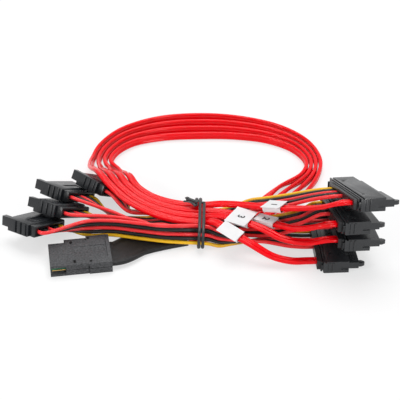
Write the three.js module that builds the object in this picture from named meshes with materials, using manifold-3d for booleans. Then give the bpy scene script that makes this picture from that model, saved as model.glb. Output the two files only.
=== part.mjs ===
// Breakout cable: one flat internal plug with a sleeved ribbon at one end, four wide drive plugs and
// four narrow power plugs at the other ends, four flat two-core data cables coiled into one loop,
// twenty power wires, four number labels and one twist tie. Millimetres, +Z up.
import * as THREE from "three";
import { mergeVertices } from "three/addons/utils/BufferGeometryUtils.js";
import Module from "manifold-3d";

const wasm = await Module();
wasm.setup();

const GAP = 0.3;
const CENTRE_X = 3;
const CENTRE_Y = -8.7;

const HOST_LENGTH = 33;
const HOST_WIDTH = 24.2;
const HOST_HEIGHT = 7;
const HOST_WALL = 1.4;
const HOST_PLACE = { x: -79.1, y: -71.5, z: 0, yaw: 9.07, pitch: 0, roll: 0 };
const CARD_THICK = 1;

const DRIVE_WIDTH = 42.5;
const DRIVE_HEIGHT = 7.2;
const DRIVE_COVER = 3.1;
const DRIVE_ENTRY = 2.2;
const DRIVE_BLOCK = 13.7;
const DRIVE_TONGUE = 8.6;
const DRIVE_PLACES = [
  { x: 72.9, y: -54.3, z: 37.2, yaw: 15, pitch: 7, roll: -18 },
  { x: 67.8, y: -50.7, z: 23.8, yaw: 11, pitch: 4, roll: -9.5 },
  { x: 70.8, y: -45.5, z: 11.8, yaw: 6, pitch: 2, roll: -4 },
  { x: 61.4, y: -47, z: 0, yaw: 3, pitch: 0, roll: 0 },
];

const POWER_WIDTH = 24.6;
const POWER_HEIGHT = 7.2;
const POWER_DEPTH = 15.5;
const POWER_CAP = 4.5;
const POWER_PLACES = [
  { x: -52.3, y: -7.4, z: 8.2, yaw: 136, pitch: 2, roll: 31 },
  { x: -71.2, y: -13.2, z: 8.6, yaw: 141, pitch: 5, roll: 27 },
  { x: -73.2, y: -29, z: 8.6, yaw: 143, pitch: 8, roll: 28 },
  { x: -85.6, y: -41, z: 6.6, yaw: 142, pitch: 8, roll: 18 },
];

const WIRE_DIAMETER = 2.1;
const WIRE_PITCH = 3.5;
const CABLE_WIDTH = 5;
const CABLE_THICK = 2.4;
const SLEEVE_WIDTH = 21;
const SLEEVE_THICK = 3.2;
const LABEL_LENGTH = 12.6;
const TIE_WIDTH = 2.4;
const TIE_THICK = 1.1;

const WIRE_COLOURS = ["red", "black", "red", "black", "yellow"];

// Stations of each row of five wires between a power plug and its drive plug: the middle of the row,
// the pitch, and the angle of the row seen along the wires (0 = level, near wire first).
const WIRE_ROWS = [
  [
    { x: -40, y: -21, z: 7.4, pitch: 2.45, angle: -32 },
    { x: -28, y: -18.2, z: 4.6, pitch: 2.45, angle: -22 },
    { x: -12, y: -23.2, z: 4.9, pitch: 2.42, angle: 0 },
    { x: 3, y: -23.8, z: 5.2, pitch: 2.42, angle: 0 },
    { x: 18, y: -20.6, z: 6, pitch: 2.5, angle: 0 },
    { x: 28, y: -22.6, z: 12, pitch: 2.6, angle: 0 },
    { x: 38, y: -27, z: 16.8, pitch: 2.8, angle: -4 },
    { x: 48, y: -34.8, z: 24.4, pitch: 3.2, angle: -10 },
    { x: 60, y: -45.6, z: 35.2, pitch: 3.45, angle: -16 },
  ],
  [
    { x: -50, y: -25, z: 8.8, pitch: 2.5, angle: -48 },
    { x: -30, y: -30.8, z: 7.3, pitch: 2.45, angle: -14 },
    { x: -20, y: -32.3, z: 9.1, pitch: 2.45, angle: -6 },
    { x: -10, y: -34.6, z: 8.4, pitch: 2.42, angle: 0 },
    { x: 3, y: -34.6, z: 7.8, pitch: 2.42, angle: 0 },
    { x: 20, y: -34, z: 7.6, pitch: 2.45, angle: 0 },
    { x: 38, y: -36.5, z: 10.2, pitch: 2.7, angle: 0 },
    { x: 54, y: -42.6, z: 18.6, pitch: 3.3, angle: -6 },
  ],
  [
    { x: -50, y: -34.5, z: 10, pitch: 2.5, angle: -66 },
    { x: -30, y: -38.4, z: 9.4, pitch: 2.45, angle: -60 },
    { x: -20, y: -38.2, z: 6.7, pitch: 2.45, angle: -20 },
    { x: -11, y: -36.4, z: 5.5, pitch: 2.42, angle: 0 },
    { x: 3, y: -36.6, z: 5.3, pitch: 2.42, angle: 0 },
    { x: 20, y: -35.5, z: 4.8, pitch: 2.45, angle: 0 },
    { x: 38, y: -38.5, z: 7.2, pitch: 2.8, angle: 0 },
    { x: 54, y: -39.6, z: 12.6, pitch: 3.3, angle: -2 },
  ],
  [
    { x: -62, y: -40.6, z: 9.6, pitch: 2.5, angle: -84 },
    { x: -49, y: -40.4, z: 9.8, pitch: 2.5, angle: -88 },
    { x: -32, y: -43.6, z: 9.9, pitch: 2.5, angle: -92 },
    { x: -20, y: -45.6, z: 9.7, pitch: 2.45, angle: -94 },
    { x: -9, y: -45, z: 8.9, pitch: 2.5, angle: -102 },
    { x: -1, y: -43.7, z: 7.65, pitch: 2.45, angle: -112 },
    { x: 5, y: -44.6, z: 7.6, pitch: 2.45, angle: -106 },
    { x: 10.5, y: -45.6, z: 6.3, pitch: 2.45, angle: -92 },
    { x: 17, y: -45.9, z: 5.75, pitch: 2.45, angle: -66 },
    { x: 26, y: -45.4, z: 4.6, pitch: 2.55, angle: -40 },
    { x: 36, y: -43.8, z: 3.9, pitch: 2.7, angle: -25 },
    { x: 49, y: -42.6, z: 3.7, pitch: 3.3, angle: 0 },
  ],
];

// Stations of the four data cables side by side from the sleeve round the loop and back to the tie:
// the outer cable, the inner cable and the roll of all four.
const LOOP_STATIONS = [
  { outer: [-6.2, -42.8, 2.4], inner: [-10.4, -27.4, 2.2], roll: 0 },
  { outer: [1, -41, 2.9], inner: [1, -25, 2.9], roll: 0 },
  { outer: [14, -38.8, 1.6], inner: [11, -22.8, 1.6], roll: 0 },
  { outer: [29, -31.6, 1.4], inner: [21, -17.2, 1.4], roll: 0 },
  { outer: [45, -18, 1.8], inner: [33.5, -6.2, 1.8], roll: 10 },
  { outer: [59, 0.5, 2.5], inner: [46.5, 10, 2.5], roll: 50 },
  { outer: [69, 19, 2.7], inner: [60, 21.5, 2.7], roll: 85 },
  { outer: [72.4, 37, 2.7], inner: [63.8, 35.4, 2.7], roll: 90 },
  { outer: [66, 58, 2.7], inner: [57, 50, 2.7], roll: 90 },
  { outer: [50, 75, 2.7], inner: [42, 60.6, 2.7], roll: 90 },
  { outer: [26, 85.6, 2.7], inner: [22, 65.4, 2.7], roll: 90 },
  { outer: [0, 89, 2.7], inner: [0, 66, 2.7], roll: 90 },
  { outer: [-27, 85, 2.7], inner: [-23, 64, 2.7], roll: 90 },
  { outer: [-49, 72, 2.7], inner: [-41, 57.5, 2.7], roll: 90 },
  { outer: [-61, 53.5, 3], inner: [-50.6, 46.5, 3], roll: 90 },
  { outer: [-64.4, 38, 3.8], inner: [-53.4, 35, 3.4], roll: 80 },
  { outer: [-64.6, 26, 7.4], inner: [-48.2, 26, 4.2], roll: 56 },
  { outer: [-62.6, 14, 13], inner: [-44.6, 18.6, 6.4], roll: 20 },
  { outer: [-57.4, 0, 19.2], inner: [-41, 7, 12.6], roll: 24 },
  { outer: [-50.6, -12.5, 19.2], inner: [-36, -4, 12.4], roll: 16 },
  { outer: [-41, -22.5, 16.2], inner: [-28.6, -11, 11.2], roll: 8 },
  { outer: [-28, -30.4, 13.4], inner: [-19.4, -16.4, 10.8], roll: 0 },
  { outer: [-13, -35.4, 11.6], inner: [-9, -19.4, 10.6], roll: 0 },
  { outer: [2, -37.4, 11.3], inner: [2, -21, 11.3], roll: 0 },
];

// The end of each data cable from the tie to its drive plug, from the far and top plug to the front one.
const CABLE_TAILS = [
  [
    [12, -22.6, 13.2, 0], [24, -28.4, 16.6, 0], [32.5, -34.2, 19.8, 0], [40.5, -40.6, 23.4, 0],
    [48.5, -47.8, 28, 4], [56.5, -55.2, 33.4, 10], [64.5, -62.8, 39.8, 14],
  ],
  [
    [12, -28.6, 11.8, 0], [25, -34, 12.8, 0], [36, -41.5, 14.6, 0], [43.6, -47.8, 16.8, 0],
    [50, -55, 20, 2], [58, -61.8, 25.4, 6],
  ],
  [
    [12, -34.8, 13.2, 0], [21.8, -40.4, 14.6, 0], [33, -47.4, 14.8, 0], [45, -55.2, 13.2, 0],
    [57, -60, 14.6, 2],
  ],
  [
    [4.8, -39, 13, 0], [9.6, -43.6, 15.1, -6], [16.8, -49.7, 13.6, -8], [27, -56.2, 11, -6], [39, -60.8, 5.8, 0],
    [49, -62.2, 3.8, 0],
  ],
];
const LABEL_STATIONS = [
  { cable: 0, at: 3, near: 4.6, far: 4.2 },
  { cable: 1, at: 2, near: 3.4, far: 3.4 },
  { cable: 2, at: 1, near: 6.4, far: 8.6 },
  { cable: 3, at: 2, near: 5.6, far: 3.2 },
];

const group = new THREE.Group();

function vector(x, y, z) {
  return new THREE.Vector3(x, y, z);
}

function pose(place) {
  const matrix = new THREE.Matrix4();
  const euler = new THREE.Euler(
    THREE.MathUtils.degToRad(place.roll),
    THREE.MathUtils.degToRad(place.pitch),
    THREE.MathUtils.degToRad(place.yaw),
    "ZYX",
  );
  matrix.makeRotationFromEuler(euler);
  matrix.setPosition(place.x, place.y, place.z);
  return matrix;
}

function box(x0, x1, y0, y1, z0, z1) {
  const geometry = new THREE.BoxGeometry(x1 - x0, y1 - y0, z1 - z0);
  geometry.translate((x0 + x1) / 2, (y0 + y1) / 2, (z0 + z1) / 2);
  return geometry;
}

function drum(x, y, z0, z1, radius, sides = 12) {
  const geometry = new THREE.CylinderGeometry(radius, radius, z1 - z0, sides);
  geometry.rotateX(Math.PI / 2);
  geometry.translate(x, y, (z0 + z1) / 2);
  return geometry;
}

function plate(outline, z0, z1) {
  const shape = new THREE.Shape(outline.map(([x, y]) => new THREE.Vector2(x, y)));
  const geometry = new THREE.ExtrudeGeometry(shape, { depth: z1 - z0, bevelEnabled: false });
  geometry.translate(0, 0, z0);
  return geometry;
}

function profile(outline, y0, y1) {
  const shape = new THREE.Shape(outline.map(([x, z]) => new THREE.Vector2(x, z)));
  const geometry = new THREE.ExtrudeGeometry(shape, { depth: y1 - y0, bevelEnabled: false });
  geometry.rotateX(Math.PI / 2);
  geometry.translate(0, y1, 0);
  return geometry;
}

function solid(geometry) {
  const bare = geometry.clone();
  bare.deleteAttribute("normal");
  bare.deleteAttribute("uv");
  const merged = mergeVertices(bare, 1e-4);
  const mesh = new wasm.Mesh({
    numProp: 3,
    vertProperties: new Float32Array(merged.attributes.position.array),
    triVerts: new Uint32Array(merged.index.array),
  });
  return new wasm.Manifold(mesh);
}

function shaped(added, removed = []) {
  let body = solid(added[0]);
  for (const piece of added.slice(1)) {
    body = body.add(solid(piece));
  }
  for (const piece of removed) {
    body = body.subtract(solid(piece));
  }
  const mesh = body.getMesh();
  const geometry = new THREE.BufferGeometry();
  geometry.setAttribute("position", new THREE.BufferAttribute(new Float32Array(mesh.vertProperties), 3));
  geometry.setIndex(new THREE.BufferAttribute(new Uint32Array(mesh.triVerts), 1));
  return geometry;
}

function addPiece(name, geometry, materialName, colour, matrix = new THREE.Matrix4()) {
  const placed = geometry.clone();
  placed.applyMatrix4(matrix);
  placed.translate(CENTRE_X, CENTRE_Y, 0);
  placed.computeVertexNormals();
  const material = new THREE.MeshStandardMaterial({ color: colour, side: THREE.FrontSide });
  material.name = materialName;
  const mesh = new THREE.Mesh(placed, material);
  mesh.name = name;
  group.add(mesh);
}

function roundSection(diameter, sides = 8) {
  const points = [];
  for (let i = 0; i < sides; i += 1) {
    const angle = ((i + 0.5) / sides) * Math.PI * 2;
    points.push(new THREE.Vector2(Math.cos(angle), Math.sin(angle)).multiplyScalar(diameter / 2));
  }
  return new THREE.Shape(points);
}

function twinSection(width, thick) {
  const radius = thick / 2;
  const core = width / 2 - radius;
  const points = [];
  for (const side of [1, -1]) {
    for (const degrees of [-125, -70, -23, 23, 70, 125]) {
      const angle = THREE.MathUtils.degToRad(degrees);
      const reach = Math.abs(degrees) > 100 ? radius * 0.92 : radius;
      points.push(new THREE.Vector2(side * (core + Math.cos(angle) * reach), side * Math.sin(angle) * reach));
    }
  }
  return new THREE.Shape(points);
}

function flatSection(width, thick) {
  const x = width / 2;
  const y = thick / 2;
  const c = thick * 0.3;
  const corners = [[x - c, -y], [x, -y + c], [x, y - c], [x - c, y]];
  const points = corners.map(([px, py]) => new THREE.Vector2(px, py));
  for (const [px, py] of corners) {
    points.push(new THREE.Vector2(-px, -py));
  }
  return new THREE.Shape(points);
}

function rollAt(rolls, share) {
  const place = share * (rolls.length - 1);
  const low = Math.min(Math.floor(place), rolls.length - 2);
  return rolls[low] + (rolls[low + 1] - rolls[low]) * (place - low);
}

// Sweeps a section along a smooth path; the section's x axis lies level, then turns by the roll.
function sweep(section, points, steps, rolls = [0, 0], level = null) {
  const path = new THREE.CatmullRomCurve3(points, false, "centripetal");
  path.arcLengthDivisions = 400;
  const geometry = new THREE.ExtrudeGeometry(section, { depth: 1, steps, bevelEnabled: false });
  const position = geometry.attributes.position;
  const frames = [];
  for (let i = 0; i <= steps; i += 1) {
    const share = path.getUtoTmapping(i / steps);
    const tangent = path.getTangent(share).normalize();
    const side = level ? level.clone() : vector(0, 0, 1).cross(tangent).negate();
    side.addScaledVector(tangent, -side.dot(tangent)).normalize();
    const up = side.clone().cross(tangent).normalize();
    const roll = THREE.MathUtils.degToRad(rollAt(rolls, share));
    frames.push({
      centre: path.getPoint(share),
      side: side.clone().multiplyScalar(Math.cos(roll)).addScaledVector(up, Math.sin(roll)),
      up: up.clone().multiplyScalar(Math.cos(roll)).addScaledVector(side, -Math.sin(roll)),
    });
  }
  for (let i = 0; i < position.count; i += 1) {
    const frame = frames[Math.round(position.getZ(i) * steps)];
    const point = frame.centre.clone();
    point.addScaledVector(frame.side, position.getX(i));
    point.addScaledVector(frame.up, position.getY(i));
    position.setXYZ(i, point.x, point.y, point.z);
  }
  const merged = mergeVertices(stripped(geometry), 1e-4);
  return facingOut(merged);
}

function stripped(geometry) {
  geometry.deleteAttribute("normal");
  geometry.deleteAttribute("uv");
  return geometry;
}

function facingOut(geometry) {
  const position = geometry.attributes.position;
  const index = geometry.index;
  let volume = 0;
  for (let i = 0; i < index.count; i += 3) {
    const a = vector().fromBufferAttribute(position, index.getX(i));
    const b = vector().fromBufferAttribute(position, index.getX(i + 1));
    const c = vector().fromBufferAttribute(position, index.getX(i + 2));
    volume += a.dot(b.cross(c));
  }
  if (volume < 0) {
    for (let i = 0; i < index.count; i += 3) {
      const second = index.getX(i + 1);
      index.setX(i + 1, index.getX(i + 2));
      index.setX(i + 2, second);
    }
  }
  return geometry;
}

function hostOutline(grow) {
  return [
    [0, 0 - grow], [20.6, 0 - grow], [20.6, -0.5 - grow], [HOST_LENGTH, -0.5 - grow],
    [HOST_LENGTH, HOST_WIDTH + grow], [20.6, HOST_WIDTH + grow], [20.6, HOST_WIDTH - 1.6 + grow],
    [8.6, HOST_WIDTH - 1.6 + grow], [8.6, HOST_WIDTH - 4.2 + grow], [0, HOST_WIDTH - 4.2 + grow],
  ];
}

function buildHostPlug() {
  const place = pose(HOST_PLACE);
  const seam = HOST_HEIGHT / 2;
  const noseWidth = HOST_WIDTH - 4.2;
  const mouth = box(-1, 8.4, -2, noseWidth - HOST_WALL, HOST_WALL, HOST_HEIGHT - HOST_WALL);
  const bay = box(8, 14, HOST_WALL, noseWidth - HOST_WALL, HOST_WALL, HOST_HEIGHT - HOST_WALL);
  const rear = box(HOST_LENGTH - 4, HOST_LENGTH + 1, 1, HOST_WIDTH - 1.6, 1.2, HOST_HEIGHT - 1.8);
  const upper = shaped(
    [plate(hostOutline(0), seam + GAP / 2, HOST_HEIGHT)],
    [
      mouth, bay, rear,
      drum(12.2, 19.2, HOST_HEIGHT - 1, HOST_HEIGHT + 1, 0.75),
      drum(20.4, 21.2, HOST_HEIGHT - 1, HOST_HEIGHT + 1, 0.6),
      drum(13.2, 3.2, HOST_HEIGHT - 1, HOST_HEIGHT + 1, 0.85),
      drum(21.8, 2.2, HOST_HEIGHT - 1, HOST_HEIGHT + 1, 0.6),
      box(13.5, 30, 9.2, 15.4, HOST_HEIGHT - 0.25, HOST_HEIGHT + 1),
      box(20.2, 21, -1, 0.5, 0, HOST_HEIGHT - 1.2),
    ],
  );
  const lower = shaped(
    [plate(hostOutline(0), 0, seam - GAP / 2)],
    [
      mouth, bay, rear,
      box(4, 26, noseWidth / 2 - 4, noseWidth / 2 + 4, -1, 0.8),
      box(20.2, 21, -1, 0.5, 0.8, HOST_HEIGHT),
    ],
  );
  const card = box(0.6, 13.4, 1.9, noseWidth - HOST_WALL - 0.5, seam - CARD_THICK / 2, seam + CARD_THICK / 2);
  addPiece("host_plug_upper", upper, "host_plastic", 0x3e3f42, place);
  addPiece("host_plug_lower", lower, "host_plastic", 0x3e3f42, place);
  addPiece("host_plug_card", card, "card_green", 0x0a6a3c, place);
  const leaf = shaped(
    [
      box(5, 25, noseWidth / 2 - 3, noseWidth / 2 + 3, 0.15, 0.4),
      box(5, 6.5, noseWidth / 2 - 3, noseWidth / 2 + 3, 0.15, 0.55),
    ],
  );
  addPiece("host_plug_leaf", leaf, "leaf_steel", 0xb8bcc0, place);
}

function driveNotches() {
  const notches = [];
  const middle = DRIVE_HEIGHT / 2;
  for (let i = 0; i < WIRE_COLOURS.length; i += 1) {
    const y = driveWireY(i);
    const room = WIRE_DIAMETER / 2 + GAP;
    notches.push(box(-1, DRIVE_ENTRY, y - room, y + room, middle - room, middle + room));
  }
  const y = driveDataY();
  const half = CABLE_WIDTH / 2 + GAP;
  const depth = CABLE_THICK / 2 + GAP;
  notches.push(box(-1, DRIVE_ENTRY, y - half, y + half, middle - depth, middle + depth));
  return notches;
}

function driveWireY(index) {
  return -2.6 + index * WIRE_PITCH;
}

function driveDataY() {
  return -14.6;
}

function buildDrivePlug(number, place) {
  const half = DRIVE_WIDTH / 2;
  const face = DRIVE_COVER + DRIVE_BLOCK;
  const top = DRIVE_HEIGHT;
  const blockProfile = [
    [DRIVE_COVER, 0.5], [DRIVE_COVER + 0.5, 0], [face, 0], [face, top], [DRIVE_COVER + 1.8, top],
    [DRIVE_COVER + 1.8, top - 0.7], [DRIVE_COVER + 0.8, top - 0.7], [DRIVE_COVER + 0.8, top - 0.1],
    [DRIVE_COVER, top - 0.1],
  ];
  const tongue = plate(
    [
      [face - 0.5, -half + 1.2], [face + 5.4, -half + 1.2], [face + 5.4, -half + 4.8],
      [face + 5, -half + 17], [face + 3.6, -half + 17.6], [face + 3.6, half - 3.4], [face - 0.5, half - 3.4],
    ],
    1.7, top - 1.6,
  );
  const tip = plate(
    [
      [face + 5, -half + 1.5], [face + 6.8, -half + 1.5], [face + DRIVE_TONGUE, -half + 2.4],
      [face + DRIVE_TONGUE, -half + 3.4], [face + 6.8, -half + 4.5], [face + 5, -half + 4.5],
    ],
    2.5, top - 2.5,
  );
  const ribs = [];
  for (const x of [DRIVE_COVER + 2.6, DRIVE_COVER + 4.8]) {
    for (const side of [-1, 1]) {
      ribs.push(box(x, x + 1, side * half - 0.5, side * half + 0.5, 0.4, top - 0.6));
    }
  }
  const housing = shaped(
    [profile(blockProfile, -half, half), tongue, tip, ...ribs],
    [
      box(face - 2, face + 12, -half + 7, -half + 16, top / 2 - 0.8, top / 2 + 0.8),
      box(face - 2, face + 12, -half + 18.4, half - 5, top / 2 - 0.8, top / 2 + 0.8),
      drum(DRIVE_COVER + 4.4, -half * 0.62, top - 0.9, top + 1, 0.8),
      drum(DRIVE_COVER + 4.4, half * 0.62, top - 0.9, top + 1, 0.8),
      box(face - 4, face + 1, -half - 1, -half + 0.6, 2, top - 2.2),
    ],
  );
  const cover = shaped(
    [
      box(0, DRIVE_COVER - 1, -half + 2.4, half - 7.2, 0.8, top - 0.8),
      box(DRIVE_COVER - 1.3, DRIVE_COVER - GAP, -half + 1.2, half - 3, 0.4, top - 0.4),
    ],
    driveNotches(),
  );
  addPiece(`drive_plug_${number}_housing`, housing, "drive_plug_plastic", 0x2b2d30, pose(place));
  addPiece(`drive_plug_${number}_cover`, cover, "drive_cover_plastic", 0x232528, pose(place));
}

function powerWireY(index) {
  return (POWER_WIDTH / 2 - 4.2) - (index * (POWER_WIDTH - 8.4)) / (WIRE_COLOURS.length - 1);
}

function buildPowerPlug(number, place) {
  const half = POWER_WIDTH / 2;
  const top = POWER_HEIGHT;
  const bodyProfile = [[0, 0.4], [0.6, 0], [POWER_DEPTH, 0], [POWER_DEPTH, top], [0.6, top], [0, top - 0.4]];
  const ribs = [];
  for (const x of [1.6, 5.4, 9.2]) {
    for (const side of [-1, 1]) {
      ribs.push(box(x, x + 2.2, side * half - 0.5, side * half + 0.6, 0.3, top - 0.3));
    }
  }
  const housing = shaped(
    [
      profile(bodyProfile, -half, half),
      box(POWER_DEPTH - 0.5, POWER_DEPTH + 4.6, half - 3, half, 1.8, top),
      ...ribs,
    ],
    [
      box(POWER_DEPTH - 6, POWER_DEPTH + 1, -half + 2.6, half - 3.4, 2.4, 4.8),
      box(2.2, 7.4, -half + 5.5, half - 8, top - 0.35, top + 1),
    ],
  );
  const notches = [];
  for (let i = 0; i < WIRE_COLOURS.length; i += 1) {
    const y = powerWireY(i);
    notches.push(box(-POWER_CAP - 1, -1.8, y - 1.5, y + 1.5, top / 2 - 1.6, top / 2 + 1.6));
  }
  const capProfile = [
    [-POWER_CAP, 1], [-POWER_CAP + 0.6, 0.5], [-GAP, 0.5], [-GAP, top - 0.5],
    [-POWER_CAP + 0.6, top - 0.5], [-POWER_CAP, top - 1],
  ];
  const cap = shaped([profile(capProfile, -half + 1.2, half - 1.2)], notches);
  addPiece(`power_plug_${number}_housing`, housing, "power_plug_plastic", 0x25282b, pose(place));
  addPiece(`power_plug_${number}_cap`, cap, "power_cap_plastic", 0x1f2124, pose(place));
}

function at(place, x, y, z) {
  return vector(x, y, z).applyMatrix4(pose(place));
}

function wirePoints(plug, index) {
  const power = POWER_PLACES[plug];
  const drive = DRIVE_PLACES[plug];
  const powerY = powerWireY(index);
  const driveY = driveWireY(index);
  const points = [
    at(power, -1.8 - GAP, powerY, POWER_HEIGHT / 2),
    at(power, -POWER_CAP - 3.5, powerY, POWER_HEIGHT / 2),
  ];
  for (const station of WIRE_ROWS[plug]) {
    const angle = THREE.MathUtils.degToRad(station.angle);
    const offset = (index - 2) * station.pitch;
    points.push(vector(station.x, station.y + offset * Math.cos(angle), station.z + offset * Math.sin(angle)));
  }
  points.push(at(drive, -4.5, driveY, DRIVE_HEIGHT / 2));
  points.push(at(drive, DRIVE_ENTRY - GAP, driveY, DRIVE_HEIGHT / 2));
  return points;
}

function buildWires() {
  const colours = { red: 0xe2323a, black: 0x26282a, yellow: 0xf0b21e };
  const section = roundSection(WIRE_DIAMETER);
  for (let plug = 0; plug < POWER_PLACES.length; plug += 1) {
    for (let index = 0; index < WIRE_COLOURS.length; index += 1) {
      const colour = WIRE_COLOURS[index];
      const geometry = sweep(section, wirePoints(plug, index), 20);
      addPiece(`wire_${plug + 1}_${index + 1}_${colour}`, geometry, `wire_${colour}`, colours[colour]);
    }
  }
}

function cablePoints(cable) {
  const lane = 3 - cable;
  const points = LOOP_STATIONS.map(({ outer, inner }) => {
    const share = lane / 3;
    return vector(...outer).lerp(vector(...inner), share);
  });
  for (const [x, y, z] of CABLE_TAILS[cable]) {
    points.push(vector(x, y, z));
  }
  const drive = DRIVE_PLACES[cable];
  points.push(at(drive, -5, driveDataY(), DRIVE_HEIGHT / 2));
  points.push(at(drive, DRIVE_ENTRY - GAP, driveDataY(), DRIVE_HEIGHT / 2));
  return points;
}

function cableRolls(cable) {
  const rolls = LOOP_STATIONS.map(({ roll }) => roll);
  for (const place of CABLE_TAILS[cable]) {
    rolls.push(place[3]);
  }
  rolls.push(-DRIVE_PLACES[cable].roll, -DRIVE_PLACES[cable].roll);
  return rolls;
}

function buildDataCables() {
  const section = twinSection(CABLE_WIDTH, CABLE_THICK);
  for (let cable = 0; cable < CABLE_TAILS.length; cable += 1) {
    const geometry = sweep(section, cablePoints(cable), 72, cableRolls(cable));
    addPiece(`data_cable_${cable + 1}`, geometry, "data_cable_red", 0xd8101c);
  }
}

function buildSleeve() {
  const rear = at(HOST_PLACE, HOST_LENGTH - 4 + GAP, HOST_WIDTH / 2 - 0.3, SLEEVE_THICK / 2 + 1.4);
  const clear = at(HOST_PLACE, HOST_LENGTH + 4, HOST_WIDTH / 2 - 0.3, SLEEVE_THICK / 2 + 1.35);
  const points = [
    rear, clear, vector(-34, -44.6, SLEEVE_THICK / 2 + 0.1), vector(-22, -39.6, SLEEVE_THICK / 2 + 0.1),
    vector(-9.2, -35.6, SLEEVE_THICK / 2 + 0.1),
  ];
  const geometry = sweep(flatSection(SLEEVE_WIDTH - 1.6, SLEEVE_THICK), points, 14);
  addPiece("ribbon_sleeve", geometry, "sleeve_black", 0x26272a);
}

function buildLabels() {
  const half = CABLE_WIDTH / 2 + GAP;
  const low = CABLE_THICK / 2 + GAP + 0.1;
  for (const [index, { cable, at: station, near, far }] of LABEL_STATIONS.entries()) {
    const [here, next, before] = [0, 1, -1].map((step) => {
      const [x, y, z] = CABLE_TAILS[cable][station + step];
      return vector(x, y, z);
    });
    const forward = next.clone().sub(before).normalize();
    const left = vector(0, 0, 1).cross(forward).normalize();
    left.applyAxisAngle(forward, -THREE.MathUtils.degToRad(CABLE_TAILS[cable][station][3]));
    const up = forward.clone().cross(left);
    const matrix = new THREE.Matrix4().makeBasis(forward, left, up).setPosition(here);
    const inside = box(-LABEL_LENGTH, LABEL_LENGTH, -half, half, -low, low);
    const outside = box(-LABEL_LENGTH / 2, LABEL_LENGTH / 2, -half - 0.4, half + 0.4, -low - 0.4, low + 0.4);
    const sheet = box(-LABEL_LENGTH / 2, LABEL_LENGTH / 2, -near, far, low, low + 0.5);
    addPiece(`label_${index + 1}`, shaped([outside, sheet], [inside]), "label_white", 0xf0f0f0, matrix);
  }
}

function buildTie() {
  const points = [];
  const radiusY = 17.7;
  const radiusZ = 6.9;
  const centre = vector(-0.4, -32.8, 7.55);
  points.push(vector(-9, -22, 14.6), vector(-5, -23.6, 15), vector(-2.2, -26.5, 14.6));
  for (let i = 0; i <= 28; i += 1) {
    const angle = THREE.MathUtils.degToRad(70 - (i * 720) / 28);
    const power = 0.5;
    const c = Math.cos(angle);
    const s = Math.sin(angle);
    const y = centre.y + radiusY * Math.sign(c) * Math.abs(c) ** power;
    const z = centre.z + radiusZ * Math.sign(s) * Math.abs(s) ** power;
    points.push(vector(centre.x - 1.6 + (i * 4.2) / 28, y, z));
  }
  points.push(vector(2, -23.5, 14.4), vector(-1, -20.8, 14.2));
  const geometry = sweep(flatSection(TIE_WIDTH, TIE_THICK), points, 76, [0, 0], vector(1, 0, 0));
  addPiece("twist_tie", geometry, "tie_black", 0x1d1e20);
}

buildHostPlug();
DRIVE_PLACES.forEach((place, index) => buildDrivePlug(index + 1, place));
POWER_PLACES.forEach((place, index) => buildPowerPlug(index + 1, place));
buildSleeve();
buildDataCables();
buildWires();
buildLabels();
buildTie();

export default group;
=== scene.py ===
"""Looks of a breakout lead: host plug, sleeve, data cables, power wires, plugs, labels and a tie.

Each sub-assembly is a class. Sizes are in millimetres in the classes and become metres in the meshes.
"""

from __future__ import annotations

import logging
import math
from dataclasses import dataclass, field
from enum import Enum
from typing import Any, Sequence

import bmesh
import bpy
from mathutils import Matrix, Vector

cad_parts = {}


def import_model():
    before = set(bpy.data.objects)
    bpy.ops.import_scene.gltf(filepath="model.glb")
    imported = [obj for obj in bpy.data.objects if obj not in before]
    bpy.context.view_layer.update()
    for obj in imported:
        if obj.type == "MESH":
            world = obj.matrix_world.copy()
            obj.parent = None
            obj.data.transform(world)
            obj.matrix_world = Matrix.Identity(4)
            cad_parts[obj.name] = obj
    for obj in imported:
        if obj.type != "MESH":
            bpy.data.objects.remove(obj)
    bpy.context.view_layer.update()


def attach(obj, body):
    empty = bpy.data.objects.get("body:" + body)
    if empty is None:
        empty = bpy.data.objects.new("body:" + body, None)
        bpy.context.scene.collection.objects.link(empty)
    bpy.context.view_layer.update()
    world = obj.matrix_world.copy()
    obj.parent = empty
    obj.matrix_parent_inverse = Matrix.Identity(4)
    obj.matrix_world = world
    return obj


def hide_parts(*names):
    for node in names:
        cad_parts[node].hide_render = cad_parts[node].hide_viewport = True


LOG = logging.getLogger("breakout_lead")

MM = 0.001
CENTRE_X = 3.0
CENTRE_Y = -8.7
BODY = "root"

Triple = tuple[float, float, float]


@dataclass(frozen=True)
class Place:
    """Where a plug lies, in millimetres and degrees."""

    x: float
    y: float
    z: float
    yaw: float = 0.0
    pitch: float = 0.0
    roll: float = 0.0

    def matrix(self) -> Matrix:
        """Matrix from the plug's own millimetres to the part's metres.

        Returns:
            The matrix.
        """
        turn = Matrix.Rotation(math.radians(self.yaw), 4, "Z")
        turn = turn @ Matrix.Rotation(math.radians(self.pitch), 4, "Y")
        turn = turn @ Matrix.Rotation(math.radians(self.roll), 4, "X")
        shift = Matrix.Translation((self.x + CENTRE_X, self.y + CENTRE_Y, self.z))
        return Matrix.Scale(MM, 4) @ shift @ turn

    def at(self, x: float, y: float, z: float) -> Triple:
        """A point of the plug in millimetres, before the shift to the part's middle.

        Args:
            x: its place along the plug.
            y: its place across the plug.
            z: its height in the plug.

        Returns:
            The point's three coordinates.
        """
        point = self.matrix() @ Vector((x, y, z)) / MM
        return (point.x - CENTRE_X, point.y - CENTRE_Y, point.z)


HOST_PLACE = Place(-79.1, -71.5, 0, yaw=9.07)
HOST_LENGTH = 33.0
HOST_WIDTH = 24.2
HOST_HEIGHT = 7.0
HOLE_PLACES = ((12.3, 19.9), (21.8, 22.2), (13.3, 2.0), (21.7, 1.8))

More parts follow.
